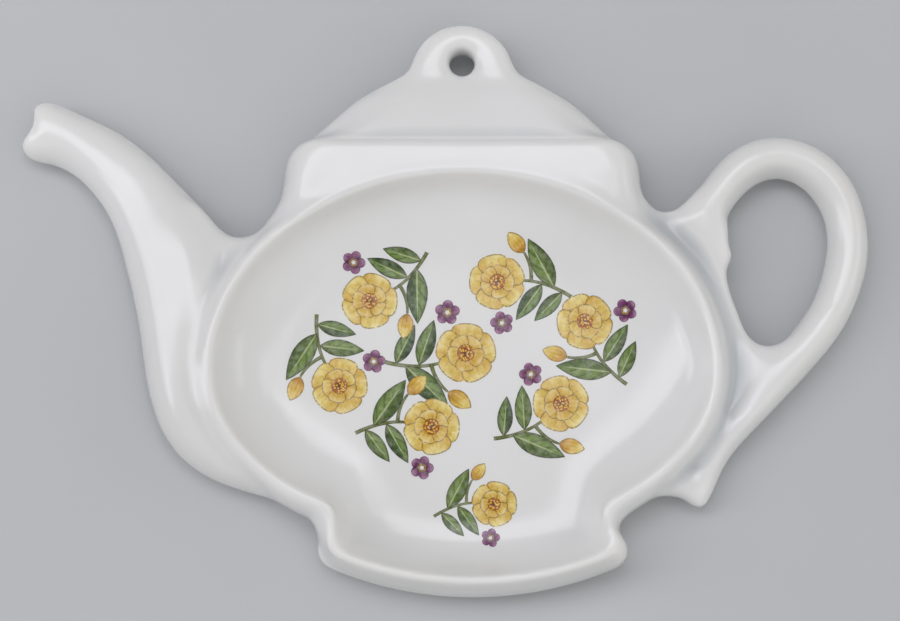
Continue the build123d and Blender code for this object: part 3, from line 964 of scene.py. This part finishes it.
def makePrint():
    petal, leaf, bud = (dropRows(motif[key]) for key in ("petal", "leaf", "bud"))
    heart, floretPetal = discRows(motif["heart"]), discRows(motif["floretPetal"])
    offset = motif["floret"] - motif["floretPetal"]
    floretPetal = [[(x + offset, y, (x + offset) / motif["floret"], across) for x, y, along, across in row]
                   for row in floretPetal]
    # each ring of petals: its layer, size, swing and how much deeper its tone is
    outerRing = ("petal", 1.0, 0.0, 0.0)
    innerRing = ("innerPetal", motif["innerSize"], motif["innerSwing"], motif["innerTone"])
    layers = sheet["layers"]
    stems, leaves, petals, hearts, florets = [], [], [], [], []
    for place in sprigPlaces():
        *spot, hand = place
        for layer, key in enumerate(("stem", "stalk")):
            points = [(along, hand * across) for along, across in sprig[key]]
            stems.append((lineRows(points, sprig["stemWidth"]), (*spot, chance.random()), layer))
        for k, (along, across, turn, size) in enumerate(sprig["leaves"]):
            x, y, heading, scale = onSprig(place, along, across, turn)
            leaves.append((leaf, (x, y, heading, scale * size, chance.random()), layers["leaf"] + k))
        budPlace = onSprig(place, *sprig["stalk"][-1], sprig["budTurn"])
        petals.append((bud, (*budPlace, motif["budTone"] * chance.random()), layers["bud"]))
        x, y, heading, scale = onSprig(place, sprig["blossomAlong"], 0)
        for key, share, swing, deeper in (outerRing, innerRing):
            for k in range(motif["petals"]):
                turn = heading + swing + 360 * k / motif["petals"]
                tone = motif["petalTone"] * chance.random() + deeper
                petals.append((petal, (x, y, turn, scale * share, tone), layers[key] + k))
        hearts.append((heart, (x, y, heading, scale, chance.random()), layers["heart"]))
        x, y, heading, scale = onSprig(place, *sprig["floret"])
        for k in range(motif["petals"]):
            turn = heading + 360 * k / motif["petals"]
            florets.append((floretPetal, (x, y, turn, scale, chance.random()), layers["floret"] + k))

    makeFilms("printedStems", stems, makeStemEnamel(), "print_stems")
    makeFilms("printedLeaves", leaves, makeLeafEnamel(), "print_leaves")
    makeFilms("printedPetals", petals, makePetalEnamel(), "print_petals")
    makeFilms("printedHearts", hearts, makeHeartEnamel(), "print_hearts")
    makeFilms("printedFlorets", florets, makeFloretEnamel(), "print_florets")


makePrint()


paper = {
    "stops": [(0.3, "c6c8ca"), (0.7, "cbcdcf")],
    "cloudSize": 90.0,
    "roughness": 0.9,
}


# Matt studio paper: pressed smooth and pale, with only the faintest unevenness.
def makePaper():
    material, tree, shader = newMaterial("pressedPaper")
    place = addNode(tree, "TexCoord", output="Object")
    drift = {"Vector": place, "Scale": scaleOf(paper["cloudSize"]), "Detail": 3.0}
    cloud = addNode(tree, "TexNoise", None, drift)
    colour = addNode(tree, "ValToRGB", {"stops": paper["stops"]}, {"Fac": cloud})
    tree.links.new(colour, shader["Base Color"])
    shader["Roughness"].default_value = paper["roughness"]
    return material


# Studio, in metres. The wide, inner and core boxes hang close before each other, so that the long window
# which they make has soft edges in the glaze.
studio = {
    "floorSize": 3.0,
    "air": "f4f3f1",
    "tentFacing": (0.75, -0.38, -0.5),
    "tentEdge": (-1.0, 1.0),
    "tentStrength": (0.285, 0.825),
    "window": "f1f1f9",
    "boxes": [
        {"name": "wideSoftbox", "place": (-0.43, 0.2, 0.87), "size": (1.6, 0.44), "watts": 1.9},
        {"name": "innerSoftbox", "place": (-0.425, 0.199, 0.86), "size": (1.48, 0.36), "watts": 1.55},
        {"name": "coreSoftbox", "place": (-0.42, 0.198, 0.85), "size": (1.34, 0.27), "watts": 1.25},
        {"name": "endSoftbox", "place": (0.24, 0.16, 0.95), "size": (0.4, 0.24), "watts": 0.4},
        {"name": "lowSoftbox", "place": (-1.0, 0.0, 0.4), "size": (0.3, 0.6), "watts": 1.2},
        {"name": "rightSoftbox", "place": (1.0, 0.1, 0.45), "size": (0.3, 0.5), "watts": 0.5},
        {"name": "frontSoftbox", "place": (0.2, -0.75, 0.72), "size": (1.6, 0.9), "watts": 0.9},
    ],
    "boxesAlong": (0.97, 0.24, 0.0),
}


def makeFloor():
    half = studio["floorSize"] / 2
    bm = bmesh.new()
    corners = ((-half, -half), (half, -half), (half, half), (-half, half))
    bm.faces.new([bm.verts.new((x, y, 0)) for x, y in corners])
    floor = addPiece("studioFloor", closeMesh("studioFloor", bm), makePaper())


# a light tent that glows most low down at the right and the front, and least at the upper left
def makeTent():
    world = bpy.data.worlds.new("studioTent")
    world.use_nodes = True
    tree = world.node_tree
    tent = tree.nodes["Background"].inputs
    toward = addNode(tree, "TexCoord", output="Generated")
    angle = {0: toward, 1: Vector(studio["tentFacing"]).normalized()}
    facing = addNode(tree, "VectorMath", {"operation": "DOT_PRODUCT"}, angle, "Value")
    dark, bright = studio["tentEdge"]
    low, high = studio["tentStrength"]
    glow = {"Value": facing, "From Min": dark, "From Max": bright, "To Min": low, "To Max": high}
    strength = addNode(tree, "MapRange", {"interpolation_type": "SMOOTHSTEP"}, glow)
    tree.links.new(strength, tent["Strength"])
    tent["Color"].default_value = hexLinear(studio["air"])
    scene.world = world
    scene.view_settings.view_transform = "Standard"


# each box faces the object, with its long side along the same line
def hangSoftboxes():
    for box in studio["boxes"]:
        light = bpy.data.lights.new(box["name"], "AREA")
        light.shape = "RECTANGLE"
        light.size, light.size_y = box["size"]
        light.energy = box["watts"]
        light.color = hexLinear(studio["window"])[:3]
        lamp = bpy.data.objects.new(box["name"], light)
        lamp.location = box["place"]
        outward = lamp.location.normalized()
        across = outward.cross(Vector(studio["boxesAlong"])).normalized()
        lamp.rotation_euler = Matrix((across.cross(outward), across, outward)).transposed().to_euler()
        scene.collection.objects.link(lamp)


# the photo's angle: nearly from above, leaning a little to the front
view = {
    "target": (1.2826, -0.8643, 6.0),
    "tilt": 9.0,
    "distance": 450.0,
    "span": 161.0,
    "sensor": 36.0,
    "nearest": 10.0,
}


def makeCamera():
    tilt = math.radians(view["tilt"])
    target = Vector(view["target"]) * mm
    outward = Vector((0, -math.sin(tilt), math.cos(tilt)))
    data = bpy.data.cameras.new("photoCamera")
    data.sensor_width = view["sensor"]
    data.lens = view["sensor"] * view["distance"] / view["span"]
    data.clip_start = view["nearest"] * mm
    camera = bpy.data.objects.new("photoCamera", data)
    camera.location = target + outward * view["distance"] * mm
    camera.rotation_euler = (-outward).to_track_quat("-Z", "Y").to_euler()
    scene.collection.objects.link(camera)
    scene.camera = camera


makeFloor()
makeTent()
hangSoftboxes()
makeCamera()
print("studio ready")
